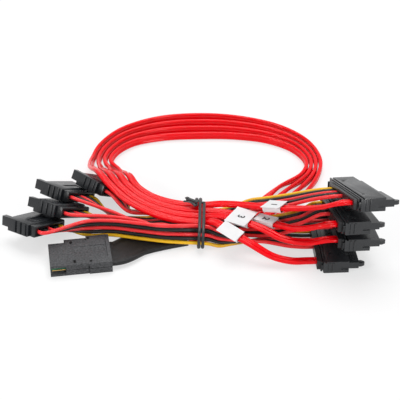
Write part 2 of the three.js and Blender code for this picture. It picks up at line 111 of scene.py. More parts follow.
DRIVE_WIDTH = 42.5
DRIVE_HEIGHT = 7.2
DRIVE_COVER = 3.1
DRIVE_ENTRY = 1.9
DRIVE_BLOCK = 13.7
DRIVE_FACE = DRIVE_COVER + DRIVE_BLOCK
DRIVE_DATA_Y = -14.6
DRIVE_PLACES = (
    Place(72.9, -54.3, 37.2, 15, 7, -18),
    Place(67.8, -50.7, 23.8, 11, 4, -9.5),
    Place(70.8, -45.5, 11.8, 6, 2, -4),
    Place(61.4, -47, 0, 3, 0, 0),
)

POWER_WIDTH = 24.6
POWER_HEIGHT = 7.2
POWER_DEPTH = 15.5
POWER_CAP = 4.5
POWER_PLACES = (
    Place(-52.3, -7.4, 8.2, 136, 2, 31),
    Place(-71.2, -13.2, 8.6, 141, 5, 27),
    Place(-73.2, -29, 8.6, 143, 8, 28),
    Place(-85.6, -41, 6.6, 142, 8, 18),
)

WIRE_COLOURS = ("red", "black", "red", "black", "yellow")
WIRE_PITCH = 3.5
WIRE_ROWS = (
    (
        (-40, -21, 7.4, 2.45, -32),
        (-28, -18.2, 4.6, 2.45, -22),
        (-12, -23.2, 4.9, 2.42, 0),
        (3, -23.8, 5.2, 2.42, 0),
        (18, -20.6, 6, 2.5, 0),
        (28, -22.6, 12, 2.6, 0),
        (38, -27, 16.8, 2.8, -4),
        (48, -34.8, 24.4, 3.2, -10),
        (60, -45.6, 35.2, 3.45, -16),
    ),
    (
        (-50, -25, 8.8, 2.5, -48),
        (-30, -30.8, 7.3, 2.45, -14),
        (-20, -32.3, 9.1, 2.45, -6),
        (-10, -34.6, 8.4, 2.42, 0),
        (3, -34.6, 7.8, 2.42, 0),
        (20, -34, 7.6, 2.45, 0),
        (38, -36.5, 10.2, 2.7, 0),
        (54, -42.6, 18.6, 3.3, -6),
    ),
    (
        (-50, -34.5, 10, 2.5, -66),
        (-30, -38.4, 9.4, 2.45, -60),
        (-20, -38.2, 6.7, 2.45, -20),
        (-11, -36.4, 5.5, 2.42, 0),
        (3, -36.6, 5.3, 2.42, 0),
        (20, -35.5, 4.8, 2.45, 0),
        (38, -38.5, 7.2, 2.8, 0),
        (54, -39.6, 12.6, 3.3, -2),
    ),
    (
        (-62, -40.6, 9.6, 2.5, -84),
        (-49, -40.4, 9.8, 2.5, -88),
        (-32, -43.6, 9.9, 2.5, -92),
        (-20, -45.6, 9.7, 2.45, -94),
        (-9, -45, 8.9, 2.5, -102),
        (-1, -43.7, 7.65, 2.45, -112),
        (5, -44.6, 7.6, 2.45, -106),
        (10.5, -45.6, 6.3, 2.45, -92),
        (17, -45.9, 5.75, 2.45, -66),
        (26, -45.4, 4.6, 2.55, -40),
        (36, -43.8, 3.9, 2.7, -25),
        (49, -42.6, 3.7, 3.3, 0),
    ),
)

# The loop of the data cables: outer cable, inner cable and the roll of all four.
LOOP_STATIONS = (
    ((-6.2, -42.8, 2.4), (-10.4, -27.4, 2.2), 0),
    ((1, -41, 2.9), (1, -25, 2.9), 0),
    ((14, -38.8, 1.6), (11, -22.8, 1.6), 0),
    ((29, -31.6, 1.4), (21, -17.2, 1.4), 0),
    ((45, -18, 1.8), (33.5, -6.2, 1.8), 10),
    ((59, 0.5, 2.5), (46.5, 10, 2.5), 50),
    ((69, 19, 2.7), (60, 21.5, 2.7), 85),
    ((72.4, 37, 2.7), (63.8, 35.4, 2.7), 90),
    ((66, 58, 2.7), (57, 50, 2.7), 90),
    ((50, 75, 2.7), (42, 60.6, 2.7), 90),
    ((26, 85.6, 2.7), (22, 65.4, 2.7), 90),
    ((0, 89, 2.7), (0, 66, 2.7), 90),
    ((-27, 85, 2.7), (-23, 64, 2.7), 90),
    ((-49, 72, 2.7), (-41, 57.5, 2.7), 90),
    ((-61, 53.5, 3), (-50.6, 46.5, 3), 90),
    ((-64.4, 38, 3.8), (-53.4, 35, 3.4), 80),
    ((-64.6, 26, 7.4), (-48.2, 26, 4.2), 56),
    ((-62.6, 14, 13), (-44.6, 18.6, 6.4), 20),
    ((-57.4, 0, 19.2), (-41, 7, 12.6), 24),
    ((-50.6, -12.5, 19.2), (-36, -4, 12.4), 16),
    ((-41, -22.5, 16.2), (-28.6, -11, 11.2), 8),
    ((-28, -30.4, 13.4), (-19.4, -16.4, 10.8), 0),
    ((-13, -35.4, 11.6), (-9, -19.4, 10.6), 0),
    ((2, -37.4, 11.3), (2, -21, 11.3), 0),
)
CABLE_TAILS = (
    (
        (12, -22.6, 13.2, 0), (24, -28.4, 16.6, 0), (32.5, -34.2, 19.8, 0), (40.5, -40.6, 23.4, 0),
        (48.5, -47.8, 28, 4), (56.5, -55.2, 33.4, 10), (64.5, -62.8, 39.8, 14),
    ),
    (
        (12, -28.6, 11.8, 0), (25, -34, 12.8, 0), (36, -41.5, 14.6, 0), (43.6, -47.8, 16.8, 0),
        (50, -55, 20, 2), (58, -61.8, 25.4, 6),
    ),
    (
        (12, -34.8, 13.2, 0), (21.8, -40.4, 14.6, 0), (33, -47.4, 14.8, 0), (45, -55.2, 13.2, 0),
        (57, -60, 14.6, 2),
    ),
    (
        (4.8, -39, 13, 0), (9.6, -43.6, 15.1, -6), (16.8, -49.7, 13.6, -8), (27, -56.2, 11, -6),
        (39, -60.8, 5.8, 0), (49, -62.2, 3.8, 0),
    ),
)


class Grain(Enum):
    """Kinds of surface that a finish can have."""

    MOULDED = "moulded"
    JACKET = "jacket"
    BRAID = "braid"
    FILM = "film"
    METAL = "metal"
    BOARD = "board"


class NodeSheet:
    """The nodes of one material, with its shader and output."""

    def __init__(self, name: str) -> None:
        """Starts an empty material.

        Args:
            name: the material's name.
        """
        self.material = bpy.data.materials.new(name)
        self.material.use_nodes = True
        self.tree = self.material.node_tree
        self.tree.nodes.clear()
        self.output = self.tree.nodes.new("ShaderNodeOutputMaterial")
        self.shader = self.tree.nodes.new("ShaderNodeBsdfPrincipled")
        self.link(self.shader, "BSDF", self.output, "Surface")

    def add(
        self, kind: str, inputs: dict[str, Any] | None = None, **settings: Any,
    ) -> bpy.types.Node:
        """Adds a node.

        Args:
            kind: the node's type.
            inputs: values of its input sockets.
            **settings: values of its own properties.

        Returns:
            The new node.
        """
        node = self.tree.nodes.new(kind)
        for key, value in settings.items():
            setattr(node, key, value)
        for key, value in (inputs or {}).items():
            node.inputs[key].default_value = value
        return node

    def link(self, start: bpy.types.Node, out: str, end: bpy.types.Node, into: str) -> None:
        """Links one node's output to another's input."""
        self.tree.links.new(start.outputs[out], end.inputs[into])

    def coordinates(self, output: str, scale: Triple, turn: float = 0.0) -> bpy.types.Node:
        """Adds coordinates with a mapping.

        Args:
            output: Object or UV.
            scale: the mapping's scale.
            turn: the mapping's turn about Z, in degrees.

        Returns:
            The mapping node.
        """
        source = self.add("ShaderNodeTexCoord")
        mapping = self.add("ShaderNodeMapping", {"Scale": scale, "Rotation": (0, 0, math.radians(turn))})
        self.link(source, output, mapping, "Vector")
        return mapping

    def noise(self, mapping: bpy.types.Node, scale: float, detail: float = 4.0) -> bpy.types.Node:
        """Adds a noise texture on a mapping and returns it.

        Args:
            mapping: the mapping node.
            scale: the noise's scale.
            detail: the noise's detail.

        Returns:
            The noise node.
        """
        node = self.add("ShaderNodeTexNoise", {"Scale": scale, "Detail": detail, "Roughness": 0.6})
        self.link(mapping, "Vector", node, "Vector")
        return node

    def tint(self, source: bpy.types.Node, output: str, low: Sequence[float], high: Sequence[float]) -> None:
        """Colours the shader between two colours by a texture.

        Args:
            source: the texture node.
            output: its output.
            low: the colour at low values.
            high: the colour at high values.
        """
        ramp = self.add("ShaderNodeValToRGB")
        ramp.color_ramp.elements[0].position = 0.32
        ramp.color_ramp.elements[1].position = 0.68
        ramp.color_ramp.elements[0].color = (*low, 1)
        ramp.color_ramp.elements[1].color = (*high, 1)
        self.link(source, output, ramp, "Fac")
        self.link(ramp, "Color", self.shader, "Base Color")

    def roughen(self, source: bpy.types.Node, output: str, low: float, high: float) -> None:
        """Sets the roughness between two values by a texture.

        Args:
            source: the texture node.
            output: its output.
            low: the roughness at low values.
            high: the roughness at high values.
        """
        spread = self.add(
            "ShaderNodeMapRange", {"From Min": 0.3, "From Max": 0.7, "To Min": low, "To Max": high},
        )
        self.link(source, output, spread, "Value")
        self.link(spread, "Result", self.shader, "Roughness")

    def bump(
        self, source: bpy.types.Node, output: str, depth: float, after: bpy.types.Node | None = None,
    ) -> bpy.types.Node:
        """Adds a bump and links it to the shader.

        Args:
            source: the texture that gives the height.
            output: its output.
            depth: the height in metres.
            after: an earlier bump to add to.

        Returns:
            The bump node.
        """
        node = self.add("ShaderNodeBump", {"Strength": 1.0, "Distance": depth})
        self.link(source, output, node, "Height")
        if after is not None:
            self.link(after, "Normal", node, "Normal")
        self.link(node, "Normal", self.shader, "Normal")
        return node


@dataclass(frozen=True)
class Finish:
    """One finish of the lead: its colours, gloss and grain."""

    slot: str
    grain: Grain
    dark: Triple
    light: Triple
    rough_low: float
    rough_high: float
    specular: float = 0.5
    metallic: float = 0.0
    depth: float = 0.00003
    scale: float = 1500.0

    def build(self) -> bpy.types.Material:
        """Builds the finish's material.

        Returns:
            The material, named after the record's slot.
        """
        sheet = NodeSheet(f"{self.slot}_look")
        shader = sheet.shader
        shader.inputs["Metallic"].default_value = self.metallic
        shader.inputs["Specular IOR Level"].default_value = self.specular
        maker = {
            Grain.MOULDED: self._moulded,
            Grain.JACKET: self._jacket,
            Grain.BRAID: self._braid,
            Grain.FILM: self._film,
            Grain.METAL: self._metal,
            Grain.BOARD: self._board,
        }[self.grain]
        maker(sheet)
        return sheet.material

    def _moulded(self, sheet: NodeSheet) -> None:
        """Spark-eroded mould grain over a slow change of gloss.

        Args:
            sheet: the material's nodes.
        """
        place = sheet.coordinates("Object", (1, 1, 1))
        broad = sheet.noise(place, 90, 3)
        fine = sheet.noise(place, self.scale, 5)
        pits = sheet.add("ShaderNodeTexVoronoi", {"Scale": self.scale * 0.8})
        sheet.link(place, "Vector", pits, "Vector")
        sheet.tint(fine, "Fac", self.dark, self.light)
        sheet.roughen(broad, "Fac", self.rough_low, self.rough_high)
        first = sheet.bump(fine, "Fac", self.depth)
        sheet.bump(pits, "Distance", self.depth * 0.5, first)

    def _jacket(self, sheet: NodeSheet) -> None:
        """Extruded jacket: faint lines along the cable and a slow change of tone.

        Args:
            sheet: the material's nodes.
        """
        along = sheet.coordinates("UV", (1, 0.04, 1))
        place = sheet.coordinates("Object", (1, 1, 1))
        lines = sheet.noise(along, self.scale, 3)
        wave = sheet.noise(place, 120, 2)
        sheet.tint(wave, "Fac", self.dark, self.light)
        sheet.roughen(lines, "Fac", self.rough_low, self.rough_high)
        sheet.bump(lines, "Fac", self.depth)

    def _braid(self, sheet: NodeSheet) -> None:
        """Fine diagonal braid from two crossed bands.

        Args:
            sheet: the material's nodes.
        """
        bands = []
        for turn in (38, -38):
            place = sheet.coordinates("UV", (1, 1, 1), turn)
            band = sheet.add("ShaderNodeTexWave", {"Scale": self.scale, "Distortion": 0.4, "Detail": 1.0})
            sheet.link(place, "Vector", band, "Vector")
            bands.append(band)
        weave = sheet.add("ShaderNodeMath", operation="MAXIMUM")
        for index, band in enumerate(bands):
            sheet.tree.links.new(band.outputs["Fac"], weave.inputs[index])
        sheet.tint(weave, "Value", self.dark, self.light)
        sheet.roughen(weave, "Value", self.rough_high, self.rough_low)
        sheet.bump(weave, "Value", self.depth)

    def _film(self, sheet: NodeSheet) -> None:
        """Matt film with a trace of paper fibre.

        Args:
            sheet: the material's nodes.
        """
        place = sheet.coordinates("Object", (1, 1, 1))
        fibre = sheet.noise(place, self.scale, 6)
        broad = sheet.noise(place, 150, 2)
        sheet.tint(broad, "Fac", self.dark, self.light)
        sheet.roughen(fibre, "Fac", self.rough_low, self.rough_high)
        sheet.bump(fibre, "Fac", self.depth)

    def _metal(self, sheet: NodeSheet) -> None:
        """Rolled metal with fine lines along it.

        Args:
            sheet: the material's nodes.
        """
        place = sheet.coordinates("Object", (1, 0.1, 1), 30)
        lines = sheet.noise(place, self.scale, 4)
        sheet.tint(lines, "Fac", self.dark, self.light)
        sheet.roughen(lines, "Fac", self.rough_low, self.rough_high)
        sheet.bump(lines, "Fac", self.depth)

    def _board(self, sheet: NodeSheet) -> None:
        """Lacquered board with faint raised tracks.

        Args:
            sheet: the material's nodes.
        """
        place = sheet.coordinates("Object", (1, 1, 1), -9.07)
        tracks = sheet.add(
            "ShaderNodeTexBrick",
            {"Scale": self.scale, "Mortar Size": 0.12, "Brick Width": 3.0, "Row Height": 0.5},
        )
        sheet.link(place, "Vector", tracks, "Vector")
        broad = sheet.noise(place, 300, 3)
        sheet.tint(broad, "Fac", self.dark, self.light)
        sheet.roughen(broad, "Fac", self.rough_low, self.rough_high)
        sheet.bump(tracks, "Fac", self.depth)


FINISHES: dict[str, Finish] = {
    "host": Finish(
        "host_plastic", Grain.MOULDED, (0.026, 0.027, 0.029), (0.09, 0.091, 0.095), 0.5, 0.66,
        specular=0.25, depth=0.00012, scale=1000,
    ),
    # Near-black finish of the hole discs: painted shade for the ejector holes, not a colour of the plastic.
    "shade": Finish(
        "host_plastic", Grain.MOULDED, (0.002, 0.002, 0.002), (0.005, 0.005, 0.005), 0.7, 0.85,
        specular=0.2, depth=0.00002, scale=1700,
    ),
    "card": Finish(
        "card_green", Grain.BOARD, (0.004, 0.1, 0.042), (0.008, 0.17, 0.075), 0.25, 0.38,
        depth=0.00003, scale=420,
    ),
    "gold": Finish(
        "card_green", Grain.METAL, (0.78, 0.5, 0.16), (0.93, 0.66, 0.27), 0.2, 0.34, metallic=1.0,
        depth=0.000004, scale=3000,
    ),
    "leaf": Finish(
        "leaf_steel", Grain.METAL, (0.5, 0.51, 0.53), (0.66, 0.67, 0.69), 0.26, 0.42, metallic=1.0,
        depth=0.000006, scale=2200,
    ),
    "drive": Finish(
        "drive_plug_plastic", Grain.MOULDED, (0.013, 0.014, 0.016), (0.022, 0.024, 0.027), 0.24, 0.36,
        specular=0.52, depth=0.00003, scale=1900,
    ),
    "cover": Finish(
        "drive_cover_plastic", Grain.MOULDED, (0.008, 0.009, 0.01), (0.016, 0.017, 0.019), 0.26, 0.38,
        specular=0.34, depth=0.00002, scale=2100,
    ),
    "power": Finish(
        "power_plug_plastic", Grain.MOULDED, (0.008, 0.009, 0.011), (0.015, 0.017, 0.02), 0.22, 0.34,
        specular=0.36, depth=0.00002, scale=1900,
    ),
    "cap": Finish(
        "power_cap_plastic", Grain.MOULDED, (0.006, 0.007, 0.008), (0.012, 0.013, 0.015), 0.2, 0.32,
        specular=0.34, depth=0.000015, scale=2100,
    ),
    "sleeve": Finish(
        "sleeve_black", Grain.BRAID, (0.004, 0.004, 0.004), (0.014, 0.014, 0.015), 0.3, 0.46,
        specular=0.25, depth=0.00007, scale=900,
    ),
    "data": Finish(
        "data_cable_red", Grain.JACKET, (0.78, 0.0004, 0.004), (0.86, 0.0008, 0.007), 0.12, 0.2,
        specular=0.2, depth=0.0000015, scale=1400,
    ),
    "wire_red": Finish(
        "wire_red", Grain.JACKET, (0.84, 0.03, 0.035), (0.9, 0.045, 0.05), 0.16, 0.26,
        specular=0.24, depth=0.0000015, scale=1600,
    ),
    "wire_black": Finish(
        "wire_black", Grain.JACKET, (0.009, 0.01, 0.009), (0.016, 0.018, 0.016), 0.26, 0.38,
        specular=0.25, depth=0.0000015, scale=1600,
    ),
    "wire_yellow": Finish(
        "wire_yellow", Grain.JACKET, (0.86, 0.45, 0.012), (0.95, 0.55, 0.025), 0.16, 0.26,
        specular=0.24, depth=0.0000015, scale=1600,
    ),
    "label": Finish(
        "label_white", Grain.FILM, (0.7, 0.7, 0.71), (0.76, 0.76, 0.76), 0.55, 0.7,
        depth=0.000012, scale=2600,
    ),
    "ink": Finish(
        "label_white", Grain.FILM, (0.012, 0.012, 0.013), (0.03, 0.03, 0.032), 0.5, 0.7,
        depth=0.000004, scale=2600,
    ),
    "tie": Finish(
        "tie_black", Grain.JACKET, (0.009, 0.009, 0.01), (0.018, 0.018, 0.02), 0.3, 0.46,
        depth=0.00002, scale=900,
    ),
}


class Bench:
    """Shared steps of the modelling, each on the selected object."""

    def __init__(self) -> None:
        """Makes every finish once."""
        self.looks = {name: finish.build() for name, finish in FINISHES.items()}

    @staticmethod
    def clear() -> None:
        """Deselects everything."""
        if bpy.context.mode != "OBJECT":
            bpy.ops.object.mode_set(mode="OBJECT")
        bpy.ops.object.select_all(action="DESELECT")

    def take(self, piece: bpy.types.Object) -> None:
        """Selects one piece alone and makes it active.

        Args:
            piece: the piece.
        """
        self.clear()
        piece.select_set(True)
        bpy.context.view_layer.objects.active = piece

    def apply(self, piece: bpy.types.Object, kind: str, **settings: Any) -> None:
        """Adds a modifier to a piece and applies it.

        Args:
            piece: the piece.
            kind: the modifier's type.
            **settings: the modifier's values.
        """
        self.take(piece)
        bpy.ops.object.modifier_add(type=kind)
        modifier = piece.modifiers[-1]
        for key, value in settings.items():
            setattr(modifier, key, value)
        bpy.ops.object.modifier_apply(modifier=modifier.name)

    def smooth(self, piece: bpy.types.Object, degrees: float = 35.0) -> None:
        """Shades a piece smooth below an angle.

        Args:
            piece: the piece.
            degrees: the angle.
        """
        self.take(piece)
        bpy.ops.object.shade_smooth_by_angle(angle=math.radians(degrees))

    def block(self, name: str, low: Triple, high: Triple) -> bpy.types.Object:
        """Adds a block between two corners, in the plug's own millimetres.

        Args:
            name: the new piece's name.
            low: the lowest corner.
            high: the highest corner.

        Returns:
            The block, with its size and place in its mesh.
        """
        self.clear()
        bpy.ops.mesh.primitive_cube_add(size=1)
        piece = bpy.context.active_object
        piece.name = name
        size = [b - a for a, b in zip(low, high)]
        middle = [(a + b) / 2 for a, b in zip(low, high)]
        piece.data.transform(Matrix.Translation(middle) @ Matrix.Diagonal((*size, 1)))
        return piece

    def finish(self, piece: bpy.types.Object, look: str, *nodes: str, body: str = BODY) -> None:
        """Gives a piece its look, its body and the nodes that it stands for.

        Args:
            piece: the piece.
            look: the finish's name.
            *nodes: the solids that the piece stands for.
            body: the body that it rides on.
        """
        piece.data.materials.clear()
        piece.data.materials.append(self.looks[look])
        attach(piece, body)
        if nodes:
            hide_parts(*nodes)
        LOG.info("made %s", piece.name)

    def dressed(self, node: str, look: str, edge: float, segments: int = 2) -> bpy.types.Object:
        """Copies a solid and rounds its edges.

        Args:
            node: the solid's name.
            look: the finish's name.
            edge: the width of the rounding, in millimetres.
            segments: the rounding's segments.

        Returns:
            The new piece, which stands for the solid.
        """
        source = bpy.data.objects[node]
        piece = bpy.data.objects.new(f"{node}_skin", source.data.copy())
        bpy.context.scene.collection.objects.link(piece)
        self.take(piece)
        bpy.ops.object.mode_set(mode="EDIT")
        bpy.ops.mesh.select_all(action="SELECT")
        bpy.ops.mesh.remove_doubles(threshold=0.000002)
        bpy.ops.mesh.dissolve_limited(angle_limit=math.radians(1.0))
        bpy.ops.object.mode_set(mode="OBJECT")
        self.apply(
            piece, "BEVEL", width=edge * MM, segments=segments, limit_method="ANGLE",
            angle_limit=math.radians(35), use_clamp_overlap=True, miter_outer="MITER_SHARP",
        )
        self.smooth(piece, 40)
        self.finish(piece, look, node)
        return piece

    def join(self, name: str, pieces: Sequence[bpy.types.Object]) -> bpy.types.Object:
        """Joins pieces into one.

        Args:
            name: the joined piece's name.
            pieces: the pieces.

        Returns:
            The joined piece.
        """
        self.clear()
        for piece in pieces:
            piece.select_set(True)
        bpy.context.view_layer.objects.active = pieces[0]
        bpy.ops.object.join()
        pieces[0].name = name
        return pieces[0]


@dataclass
class Route:
    """A smooth line through points, with a roll at each of them."""

    points: Sequence[Triple]
    rolls: Sequence[float] = (0.0, 0.0)
    level: Vector | None = None
    dense: int = 24

    def _piece(self, index: int) -> tuple[Vector, Vector, Vector, Vector]:
        """Cubic coefficients of one stretch between two points.

        Args:
            index: the stretch's number.

        Returns:
            The four coefficients, the constant one first.
        """
        points = [Vector(point) for point in self.points]
        start, end = points[index], points[index + 1]
        before = points[index - 1] if index > 0 else start * 2 - end
        after = points[index + 2] if index + 2 < len(points) else end * 2 - start
        first = (start - before).length_squared ** 0.25
        middle = (end - start).length_squared ** 0.25
        last = (after - end).length_squared ** 0.25
        leave = (start - before) / first - (end - before) / (first + middle) + (end - start) / middle
        enter = (end - start) / middle - (after - start) / (middle + last) + (after - end) / last
        leave, enter = leave * middle, enter * middle
        return start, leave, 3 * (end - start) - 2 * leave - enter, 2 * (start - end) + leave + enter

    def stations(self, count: int) -> list[tuple[Vector, Vector, Vector]]:
        """Evenly spaced stations along the line, in millimetres.

        Args:
            count: how many steps the line is cut into.

        Returns:
            The middle, the side and the up direction at each station.
        """
        samples: list[tuple[Vector, Vector, float]] = []
        stretches = len(self.points) - 1
        for index in range(stretches):
            a, b, c, d = self._piece(index)
            for step in range(self.dense + (index == stretches - 1)):
                w = step / self.dense
                samples.append((a + b * w + c * w * w + d * w ** 3, b + 2 * c * w + 3 * d * w * w, index + w))
        reach = [0.0]
        for (here, _, _), (there, _, _) in zip(samples, samples[1:]):
            reach.append(reach[-1] + (there - here).length)
        found = []
        cursor = 0
        for step in range(count + 1):
            goal = reach[-1] * step / count
            while cursor < len(reach) - 2 and reach[cursor + 1] < goal:
                cursor += 1
            span = reach[cursor + 1] - reach[cursor]
            share = min(max((goal - reach[cursor]) / span, 0.0), 1.0)
            one, two = samples[cursor], samples[cursor + 1]
            found.append(self._frame(one[0].lerp(two[0], share), one[1].lerp(two[1], share),
                                     one[2] + (two[2] - one[2]) * share))
        return found

    def _frame(self, middle: Vector, heading: Vector, place: float) -> tuple[Vector, Vector, Vector]:
        """Middle, side and up direction at one place of the line.

        Args:
            middle: the place.
            heading: the line's direction there.
            place: its share of the line, in stretches.

        Returns:
            The middle, the side and the up direction.
        """
        heading = heading.normalized()
        side = self.level.copy() if self.level is not None else heading.cross(Vector((0, 0, 1)))
        side = (side - heading * side.dot(heading)).normalized()
        up = side.cross(heading).normalized()
        share = place / (len(self.points) - 1) * (len(self.rolls) - 1)
        low = min(int(share), len(self.rolls) - 2)
        part = share - low
        eased = part * part * (3 - 2 * part)
        roll = math.radians(self.rolls[low] + (self.rolls[low + 1] - self.rolls[low]) * eased)
        turned = side * math.cos(roll) + up * math.sin(roll)
        return middle, turned, up * math.cos(roll) - side * math.sin(roll)

    def metres(self, count: int) -> list[Triple]:
        """The line's points in the part's metres."""
        shift = Vector((CENTRE_X, CENTRE_Y, 0))
        return [tuple((middle + shift) * MM) for middle, _, _ in self.stations(count)]

    def length(self) -> float:
        """The line's length in metres."""
        points = [Vector(point) for point in self.metres(400)]
        return sum((b - a).length for a, b in zip(points, points[1:]))

    def sweep(self, name: str, section: Sequence[tuple[float, float]], count: int) -> bpy.types.Object:
        """Sweeps a closed section along the line.

        Args:
            name: the new piece's name.
            section: the section's corners, counter-clockwise, in millimetres.
            count: how many steps the line is cut into.

        Returns:
            The piece, with a UV map in metres round and along it.
        """
        shift = Vector((CENTRE_X, CENTRE_Y, 0))
        frames = self.stations(count)
        size = len(section)
        vertices = []
        for middle, side, up in frames:
            vertices += [tuple((middle + side * x + up * y + shift) * MM) for x, y in section]
        faces = [tuple(range(size)), tuple(reversed(range(count * size, (count + 1) * size)))]
        for step in range(count):
            for corner in range(size):
                nearby = (corner + 1) % size
                low, high = step * size, (step + 1) * size
                faces.append((low + nearby, low + corner, high + corner, high + nearby))
        mesh = bpy.data.meshes.new(name)
        mesh.from_pydata(vertices, [], faces)
        around = [0.0]
        for (x0, y0), (x1, y1) in zip(section, [*section[1:], section[0]]):
            around.append(around[-1] + math.hypot(x1 - x0, y1 - y0))
        along = self.length() / count
        layer = mesh.uv_layers.new(name="along")
        for polygon in mesh.polygons:
            for order, loop in enumerate(polygon.loop_indices):
                vertex = mesh.loops[loop].vertex_index
                step, corner = divmod(vertex, size)
                turn = corner
                if polygon.index > 1 and corner == 0 and order in (0, 3):
                    turn = size
                layer.data[loop].uv = (around[turn] * MM, step * along)
        mesh.validate()
        piece = bpy.data.objects.new(name, mesh)
        bpy.context.scene.collection.objects.link(piece)
        self._face_out(mesh)
        return piece

    @staticmethod
    def _face_out(mesh: bpy.types.Mesh) -> None:
        """Turns the faces outwards and shades them smooth.

        Args:
            mesh: the swept mesh.
        """
        work = bmesh.new()
        work.from_mesh(mesh)
        bmesh.ops.recalc_face_normals(work, faces=work.faces)
        if work.calc_volume(signed=True) < 0:
            bmesh.ops.reverse_faces(work, faces=work.faces)
        work.to_mesh(mesh)
        work.free()
        mesh.polygons.foreach_set("use_smooth", [len(p.vertices) == 4 for p in mesh.polygons])


def ring(width: float, height: float, corners: int, power: float = 2.0) -> list[tuple[float, float]]:
    """A closed round or squared section.

    Args:
        width: its width.
        height: its height.
        corners: how many corners it has.
        power: 2 for an ellipse, more for a squarer form.

    Returns:
        The corners, counter-clockwise.
    """
    found = []
    for index in range(corners):
        angle = 2 * math.pi * (index + 0.5) / corners
        c, s = math.cos(angle), math.sin(angle)
        x = math.copysign(abs(c) ** (2 / power), c) * width / 2
        y = math.copysign(abs(s) ** (2 / power), s) * height / 2
        found.append((x, y))
    return found


@dataclass
class HostPlug:
    """The flat internal plug: two shells, a card with gold pads and a leaf strip."""

    bench: Bench
    pad_count: int = 18
    pad_pitch: float = 0.8
    pad_size: tuple[float, float, float] = (2.6, 0.5, 0.06)
    card_top: float = 4.0
    card_bottom: float = 3.0
    hole_radius: float = 0.75
    hole_places: tuple[tuple[float, float], ...] = HOLE_PLACES

    def build(self) -> None:
        """Builds the whole plug."""
        self.bench.dressed("host_plug_upper", "host", 0.35, 3)
        self.bench.dressed("host_plug_lower", "host", 0.35, 3)
        self.bench.dressed("host_plug_leaf", "leaf", 0.06)
        self.bench.dressed("host_plug_card", "card", 0.08)
        self._pads()
        self._card_edge()
        self._hole_shade_discs()
        self._rear_ridges()

    def _pads(self) -> None:
        """Gold pads on both faces of the card's front edge."""
        rows = []
        for face, z in (("top", self.card_top), ("bottom", self.card_bottom - self.pad_size[2])):
            low = (0.75, 2.3, z)
            high = (0.75 + self.pad_size[0], 2.3 + self.pad_size[1], z + self.pad_size[2])
            pad = self.bench.block(f"card_pads_{face}", low, high)
            self.bench.apply(pad, "BEVEL", width=0.02, segments=1, limit_method="ANGLE")
            self.bench.apply(
                pad, "ARRAY", count=self.pad_count, use_relative_offset=False, use_constant_offset=True,
                constant_offset_displace=(0, self.pad_pitch, 0),
            )
            rows.append(pad)
        pads = self.bench.join("card_pads", rows)
        pads.data.transform(HOST_PLACE.matrix())
        self.bench.finish(pads, "gold")

    def _card_edge(self) -> None:
        """Gold ground strip along the card's edge, seen through the window."""
        low = (0.9, 0.02, self.card_top)
        strip = self.bench.block("card_edge", low, (8.0, 0.6, self.card_top + 0.3))
        self.bench.apply(strip, "BEVEL", width=0.06, segments=2, limit_method="ANGLE")
        strip.data.transform(HOST_PLACE.matrix())
        self.bench.finish(strip, "gold")

    def _hole_shade_discs(self) -> None:
        """Near-black discs on top of the upper shell: painted shade that stands for the ejector holes."""
        shade_discs = []
        for x, y in self.hole_places:
            self.bench.clear()
            bpy.ops.mesh.primitive_cylinder_add(vertices=28, radius=self.hole_radius, depth=0.12)
            well = bpy.context.active_object
            self.bench.take(well)
            bpy.ops.object.mode_set(mode="EDIT")
            bpy.ops.mesh.select_mode(type="FACE")
            bpy.ops.mesh.select_all(action="DESELECT")
            bpy.ops.object.mode_set(mode="OBJECT")
            for face in well.data.polygons:
                face.select = face.normal.z > 0.9
            bpy.ops.object.mode_set(mode="EDIT")
            bpy.ops.mesh.inset(thickness=0.12, depth=-0.02)
            bpy.ops.object.mode_set(mode="OBJECT")
            well.data.transform(Matrix.Translation((x, y, HOST_HEIGHT)))
            shade_discs.append(well)
        holes = self.bench.join("host_hole_painted_shade", shade_discs)
        holes.data.transform(HOST_PLACE.matrix())
        # The discs get the near-black finish that paints the shade inside the holes.
        self.bench.finish(holes, "shade")

    def _rear_ridges(self) -> None:
        """Low raised line across the rear of the upper shell."""
        low = (HOST_LENGTH - 2.3, 4.2, HOST_HEIGHT - 0.2)
        high = (HOST_LENGTH - 1.9, 20, HOST_HEIGHT)
        ridge = self.bench.block("host_ridges", low, high)
        self.bench.apply(ridge, "BEVEL", width=0.09, segments=2, limit_method="ANGLE")
        ridge.data.transform(HOST_PLACE.matrix())
        self.bench.finish(ridge, "host")


